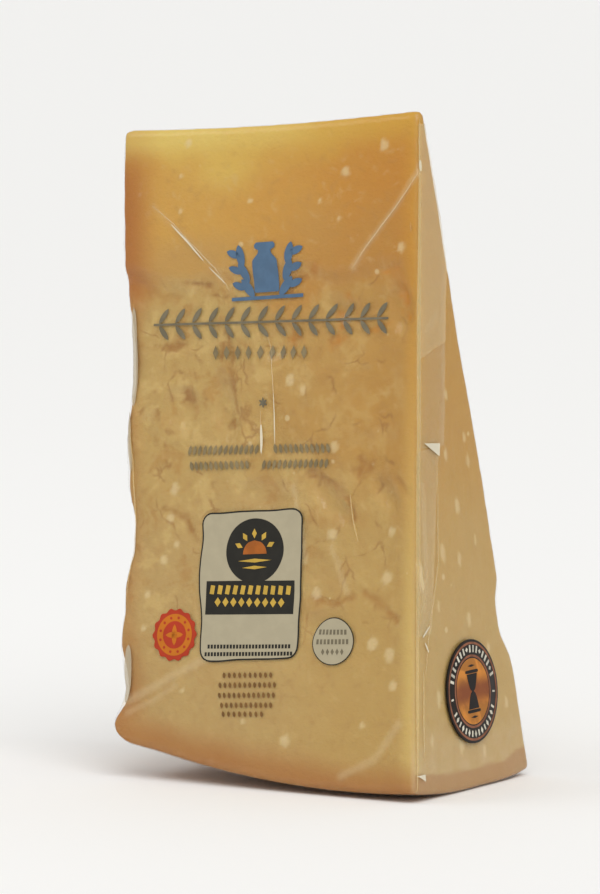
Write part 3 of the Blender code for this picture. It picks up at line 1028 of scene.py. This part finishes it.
def stickerFoil(name, colour, roughness, metallic, band=None):
    material, tree, shader = newMaterial(name)
    place = chunkCoordinates(tree)
    smear = noiseValue(tree, place, 6.0, 3.0, 0.5, 0.8)
    darker = [channel * 0.62 for channel in colour[:3]] + [1.0]
    share = remap(tree, smear, 0.35, 0.68)
    smeared = blendColour(tree, share, darker, colour)
    if band:
        # a darker sheen, a painted reflection, lies across the foil's middle
        parts = addNode(tree, "ShaderNodeSeparateXYZ", {"Vector": place})
        above = times(tree, parts.outputs["Z"], 1000.0)
        away = calculate(tree, "ABSOLUTE", calculate(tree, "ADD", above, chunk["stickerDown"]))
        near = times(tree, remap(tree, away, 6.0, 0.8), 0.8)
        smeared = blendColour(tree, near, smeared, band)
    tree.links.new(smeared, shader.inputs["Base Color"])
    setShader(shader, {"Metallic": metallic, "Roughness": roughness, "Specular IOR Level": 0.15})
    return material


def raiseAll():
    # in edit mode, what is drawn gets walls and a lid of the foil's height
    bpy.ops.mesh.select_all(action="SELECT")
    bpy.ops.mesh.extrude_region_move(TRANSFORM_OT_translate={"value": (0, 0, stickerSet["foil"] * mm)})
    bpy.ops.mesh.select_all(action="SELECT")
    bpy.ops.mesh.normals_make_consistent(inside=False)
    bpy.ops.object.mode_set(mode="OBJECT")


def raisedRing(outer, inner, low):
    # a ring turned from a small square, in mm above the sticker's middle plane
    bpy.ops.mesh.primitive_circle_add(vertices=96, radius=outer * mm)
    ring = bpy.context.active_object
    bpy.ops.object.mode_set(mode="EDIT")
    bpy.ops.mesh.extrude_region_move()
    bpy.ops.transform.resize(value=(inner / outer, inner / outer, 1), center_override=(0, 0, 0))
    raiseAll()
    ring.data.transform(Matrix.Translation((0, 0, low * mm)))
    return ring


def flatMark(shape, cuts, angle, reach, turned, low):
    # a small flat mark on the sticker, at an angle round it
    mark = newGrid(cuts)
    spin = Matrix.Rotation(turned, 4, "Z")
    for vertex in mark.data.vertices:
        x, y = shape(vertex.co.x, vertex.co.y)
        flat = spin @ Vector((x, y, 0))
        flat.x += reach * math.sin(angle)
        flat.y += reach * math.cos(angle)
        vertex.co = Vector((flat.x, flat.y, low)) * mm
    bpy.ops.object.mode_set(mode="EDIT")
    bpy.ops.mesh.select_all(action="SELECT")
    bpy.ops.mesh.remove_doubles(threshold=0.00002)
    raiseAll()
    return mark


def placeOnSide(piece, name, material):
    # from the flat drawing, X right and Y up, to the cut side
    piece.name = name
    upright = Matrix(((0, -1, 0, 0), (1, 0, 0, 0), (0, 0, 1, 0), (0, 0, 0, 1)))
    piece.data.transform(sideMatrix() @ upright)
    piece.matrix_world = Matrix.Identity(4)
    activate(piece)
    bpy.ops.object.shade_smooth_by_angle(angle=math.radians(35))
    piece.data.materials.append(material)
    finishPiece(piece, "sticker_paper", "round_sticker")


def buildSticker():
    half = stickerSet["thickness"] / 2
    high = half + stickerSet["foil"]
    bpy.ops.mesh.primitive_cylinder_add(
        vertices=128, radius=stickerSet["radius"] * mm, depth=stickerSet["thickness"] * mm
    )
    base = bpy.context.active_object
    rim = base.modifiers.new("softRim", "BEVEL")
    rim.width = stickerSet["rimSoftness"] * mm
    rim.segments = 3
    rim.limit_method = "ANGLE"
    applyAll(base)
    placeOnSide(base, "stickerBase", stickerFoil("blackFoil", paint(34, 27, 22), 0.4, 0.0))

    copper = stickerFoil("copperFoil", paint(150, 94, 66), 0.4, 0.3)
    rims = [raisedRing(r, r - stickerSet["rimWidth"], half) for r in stickerSet["rims"]]
    placeOnSide(joinAll(rims, "stickerRims"), "stickerRims", copper)

    orange = stickerFoil("orangeFoil", paint(214, 138, 52), 0.38, 0.45, paint(122, 56, 30))
    size = 2 * stickerSet["centre"]
    centre = flatMark(disc(size, size), (24, 24), 0, 0, 0, half)
    placeOnSide(centre, "stickerCentre", orange)

    pale = stickerFoil("paleInk", paint(220, 214, 196), 0.5, 0.0)
    reach = stickerSet["markReach"]
    marks = []
    for index in range(17):
        angle = math.radians(-72 + 9 * index)
        tall = index % 4 != 3
        shape = rectangle(0.85, 2.2) if tall else lozenge(1.5, 1.5)
        marks.append(flatMark(shape, (1, 2), angle, reach, -angle, half))
    for index in range(15):
        angle = math.radians(180 - 63 + 9 * index)
        shape = lozenge(1.3, 2.4) if index % 2 else rectangle(0.7, 1.9)
        marks.append(flatMark(shape, (2, 2), angle, reach, -angle, half))
    for angle in (math.radians(96), math.radians(-96)):
        marks.append(flatMark(rectangle(0.6, 1.4), (1, 2), angle, reach, -angle, half))
    placeOnSide(joinAll(marks, "stickerMarks"), "stickerMarks", pale)

    # an hourglass in the middle
    black = stickerFoil("hourglassInk", paint(28, 20, 16), 0.45, 0.0)
    glass = []
    for sign in (1, -1):
        bulb = lambda u, v, sign=sign: (
            u * (0.5 + 2.7 * math.sqrt(max(0.0, (1 + sign * v) / 2))), v * 2.7
        )
        glass.append(flatMark(bulb, (8, 10), 0, sign * 2.7, 0, high))
        glass.append(flatMark(rectangle(8.0, 1.0, 0.4), (8, 3), 0, sign * 6.1, 0, high))
        glass.append(flatMark(leaf(4.6, 0.8, 0.3), (4, 2), 0, sign * 7.9, 0, high))
    placeOnSide(joinAll(glass, "stickerHourglass"), "stickerHourglass", black)


buildSticker()
print("sticker made")


# Thin raised creases of the film, their pale colour partly a painted highlight.
creaseSet = {
    "radius": 0.17,
    "lines": (
        (((95.9, 23.8), (88.1, 29.9), (82.8, 35.2), (78.1, 39.5), (72.6, 44.6), (68.3, 51.8)), 1.0),
        (((-1.4, 17.4), (3.8, 24.7), (8.2, 30.0), (13, 35.1), (19, 41.7), (23.5, 47.4)), 1.0),
        (((55.4, 64.7), (53.1, 72.5), (52.3, 80.0), (52, 88.1), (51.6, 100.5)), 0.7),
        (((57, 89.0), (57.2, 96.0), (56.4, 103.0)), 0.6),
    ),
}


def creaseMaterial(name, colour, alpha, roughness):
    material, tree, shader = newMaterial(name)
    setShader(shader, {"Base Color": colour, "Alpha": alpha, "Roughness": roughness})
    setShader(shader, {"Coat Weight": 0.6, "Coat Roughness": 0.08})
    return material


def buildCrease(points, thick, index):
    curve = bpy.data.curves.new("creaseLine", "CURVE")
    curve.dimensions = "3D"
    curve.bevel_depth = creaseSet["radius"] * thick * mm
    curve.bevel_resolution = 2
    curve.use_fill_caps = True
    spline = curve.splines.new("POLY")
    steps = 14 * (len(points) - 1)
    spline.points.add(steps)
    for step in range(steps + 1):
        across, down = alongLine(points, step / steps)
        start = toWorld @ (Vector((-across, -120, -down)) * mm)
        worldOut = toWorld.to_3x3() @ outward["front"]
        hit = filmTree.ray_cast(start, -worldOut)[0]
        if hit is None:
            hit = filmTree.find_nearest(start)[0]
        spline.points[step].co = (*hit, 1)
        spline.points[step].radius = math.sin(math.pi * (0.04 + 0.92 * step / steps)) ** 0.6
    line = newObject(f"filmCrease{index}", curve)
    activate(line)
    bpy.ops.object.convert(target="MESH")
    weldPoints(0.000005)
    bpy.ops.object.shade_smooth()
    return line


creases = [buildCrease(points, thick, index) for index, (points, thick) in enumerate(creaseSet["lines"])]
creases = joinAll(creases, "filmCreases")
creases.data.materials.append(creaseMaterial("creaseFilmAndHighlight", paint(236, 214, 172), 0.42, 0.2))
finishPiece(creases, "wrapped_cheese")
print("creases made")


# Side seam of the pack, folded flat on the cut side, in three lengths.
seamSet = {
    "lift": 0.10,
    "thickness": 0.06,
    # the film's roughness, wrinkles, and mirror ahead and across
    "film": (0.16, 0.5, 0.02, 0.12),
    # down from, down to, width at the top and at the foot, haze
    "lengths": (
        (5.0, 77.0, 17.0, 17.0, 0.15), (77.2, 103.5, 16.6, 15.8, 0.05), (104.0, 160.0, 13.0, 8.6, 0.08),
    ),
}


def seamLength(index, top, foot, wideTop, wideFoot, haze):
    def shape(u, v):
        down = top + (foot - top) * (1 - v) / 2
        share = (1 - v) / 2
        width = wideTop + (wideFoot - wideTop) * share
        width = min(width, 2 * -frontBack(down) - 0.6)
        width += 0.5 * noise.noise(Vector((down / 9, index, 0)))
        start = frontBack(down) + 0.9
        # the two upper lengths meet in a curve
        near = share**8 if index == 0 else (1 - share) ** 8 if index == 1 else 0
        down -= 5 * ((u + 1) / 2) ** 0.7 * near
        return start + (u + 1) / 2 * (width - 0.9), -down

    piece = flatPatch((14, 60), shape, "cut", (0, 0))
    for vertex in piece.data.vertices:
        place = vertex.co / mm
        lift = 0.12 * noise.noise(Vector((place.y / 5, place.z / 11, index * 3.0)))
        lift += 0.10 * noise.noise(Vector((place.y / 14, place.z / 2.6, index * 5.0)))
        vertex.co.x += (0.14 + lift) * mm
    pressOn(piece, "cut", seamSet["lift"])
    giveWall(piece, seamSet["thickness"], 50)
    piece.name = f"seamFilm{index}"
    piece.data.materials.append(filmMaterial(f"seamFilm{index}", haze, *seamSet["film"]))
    finishPiece(piece, "wrapped_cheese")


for index, values in enumerate(seamSet["lengths"]):
    seamLength(index, *values)

# bright glints painted where the film's corners turn over, stiff webs along the left edge, and thin pale
# lines where the film is taut, partly painted highlight
glintSet = {
    "cornerLift": 0.45,
    "webLift": 0.10,
    "shineLift": 0.30,
    "lineLift": 0.22,
    "webs": (
        # across, down, width, height, tilt
        (103.6, 70.5, 2.8, 31.0, 1), (104.7, 97.0, 1.4, 19.0, 2), (103.9, 168.5, 2.9, 18.0, -3),
    ),
    "corners": (
        # a place, the width and height of the painted glint patch, and its tilt
        ((-10.8, 104.3), 9.8, 4.0, -4), ((-31.6, 202.6), 4.4, 2.2, 0),
    ),
    "shines": (
        # side, places along the line, width
        ("front", ((89.0, 29.8), (82.6, 35.8), (76.4, 42.2)), 0.55),
        ("front", ((74.6, 44.0), (69.2, 49.8)), 0.35),
        ("front", ((56.7, 93.5), (56.4, 102.6)), 0.9),
        ("front", ((51.9, 84.0), (51.8, 100.0)), 0.3),
        ("cut", ((-24.0, 160.5), (-19.4, 157.4)), 0.5),
        ("cut", ((-22.8, 162.1), (-21.0, 165.4)), 0.6),
        ("edge", ((-2.4, 16.0), (-2.6, 19.5)), 0.9),
    ),
    # pale lines along the film's edges and taut places, partly painted highlight; the one on the
    # front-right edge is a painted highlight
    "lines": (
        ("edge", tuple((diagonal * frontBack(down) + 0.6, down) for down in range(3, 208, 6)), 1.3),
        ("cut", ((-6.9, 106.6), (-10.8, 138.0), (-18.5, 155.6), (-24.0, 172.0)), 0.4),
        ("cut", ((-25.0, 170.0), (-27.5, 186.0), (-28.6, 197.0)), 0.5),
        ("front", ((104.4, 92.0), (103.4, 104.0), (103.0, 118.0), (103.6, 132.0), (104.8, 146.0)), 0.5),
        ("front", ((24.6, 116.0), (23.4, 124.0), (21.6, 131.0)), 0.5),
        ("back", ((92.0, 14.0), (74.0, 33.0), (61.0, 47.0)), 0.5),
        ("back", ((12.0, 22.0), (26.0, 38.0), (40.0, 50.0)), 0.6),
        ("back", ((50.0, 58.0), (53.0, 92.0), (51.0, 128.0)), 0.5),
        ("back", ((92.0, 168.0), (70.0, 174.0), (44.0, 172.0)), 1.1),
        ("back", ((8.0, 120.0), (9.5, 150.0), (8.5, 186.0)), 0.6),
    ),
}
# near-white, mostly opaque film: a painted highlight for the glint patches and shines
glintFilm = creaseMaterial("paintedGlintFilm", paint(236, 228, 202), 0.68, 0.16)
webFilm = creaseMaterial("webFilm", paint(200, 185, 156), 0.56, 0.18)
lineFilmAndHighlight = creaseMaterial("lineFilmAndHighlight", paint(230, 204, 142), 0.34, 0.18)
corners = [
    flatPatch((8, 10), cornerFlap(width, height), "cut", middle, tilt)
    for middle, width, height, tilt in glintSet["corners"]
]
stamp(corners, "paintedGlintCorners", "cut", glintSet["cornerLift"], glintFilm)
webs = [
    frontPatch((6, 24), leaf(width, height, 0.5), (across, down), tilt)
    for across, down, width, height, tilt in glintSet["webs"]
]
stamp(webs, "filmWebs", "front", glintSet["webLift"], webFilm)
for kind, material, lift in (("shines", glintFilm, "shineLift"), ("lines", lineFilmAndHighlight, "lineLift")):
    for side in outward:
        parts = [ribbon(where, points, wide) for where, points, wide in glintSet[kind] if where == side]
        if parts:
            stamp(parts, f"{side}{kind.capitalize()}", side, glintSet[lift], material)
print("seam and folds made")


# Floor, light and camera
roomSet = {
    "floorSize": 60.0,
    "floorColour": paint(246, 246, 245),
    "worldColour": paint(252, 251, 249),
    "worldStrength": 0.66,
    "sunStrength": 1.4,
    "sunTurn": 46.0,
    "sunRise": 50.0,
    "sunSoftness": 50.0,
    "boxSize": (0.9, 0.5),
    "boxStrength": 2.0,
    "boxPlace": (-0.9, -0.7, 1.1),
    "boxAim": (0, 0, 0.1),
}


def buildRoom():
    bpy.ops.mesh.primitive_plane_add(size=roomSet["floorSize"])
    floor = bpy.context.active_object
    floor.name = "paleFloor"
    material, tree, shader = newMaterial("paleFloor")
    setShader(shader, {"Base Color": roomSet["floorColour"], "Roughness": 0.75, "Specular IOR Level": 0.15})
    floor.data.materials.append(material)

    world = bpy.data.worlds.new("paleRoom")
    bpy.context.scene.world = world
    world.use_nodes = True
    sky = world.node_tree.nodes["Background"]
    setShader(sky, {"Color": roomSet["worldColour"], "Strength": roomSet["worldStrength"]})

    sun = bpy.data.lights.new("softSun", "SUN")
    sun.energy = roomSet["sunStrength"]
    sun.angle = math.radians(roomSet["sunSoftness"])
    lamp = newObject("softSun", sun)
    tilt = math.radians(90 - roomSet["sunRise"])
    lamp.rotation_euler = (tilt, 0, math.radians(roomSet["sunTurn"]))

    box = bpy.data.lights.new("softBox", "AREA")
    box.shape = "RECTANGLE"
    box.size, box.size_y = roomSet["boxSize"]
    box.energy = roomSet["boxStrength"]
    panel = newObject("softBox", box)
    panel.location = roomSet["boxPlace"]
    aim = Vector(roomSet["boxAim"]) - panel.location
    panel.rotation_euler = aim.to_track_quat("-Z", "Y").to_euler()


cameraSet = {"turn": 30.53, "rise": 5.0, "away": 1.80, "lens": 232.84, "aimFromTip": (-44.2, 1.7, -106.3)}


def placeCamera():
    turn = math.radians(cameraSet["turn"])
    rise = math.radians(cameraSet["rise"])
    back = Vector((math.sin(turn) * math.cos(rise), -math.cos(turn) * math.cos(rise), math.sin(rise)))
    aim = tipPlace + Vector(cameraSet["aimFromTip"]) * mm
    lens = bpy.data.cameras.new("photoView")
    lens.lens = cameraSet["lens"]
    lens.sensor_width = 36
    lens.clip_end = 200
    camera = newObject("photoView", lens)
    camera.location = aim + back * cameraSet["away"]
    camera.rotation_euler = back.to_track_quat("Z", "Y").to_euler()
    bpy.context.scene.camera = camera


buildRoom()
placeCamera()
bpy.context.scene.view_settings.view_transform = "Standard"
print("room, light and camera set")
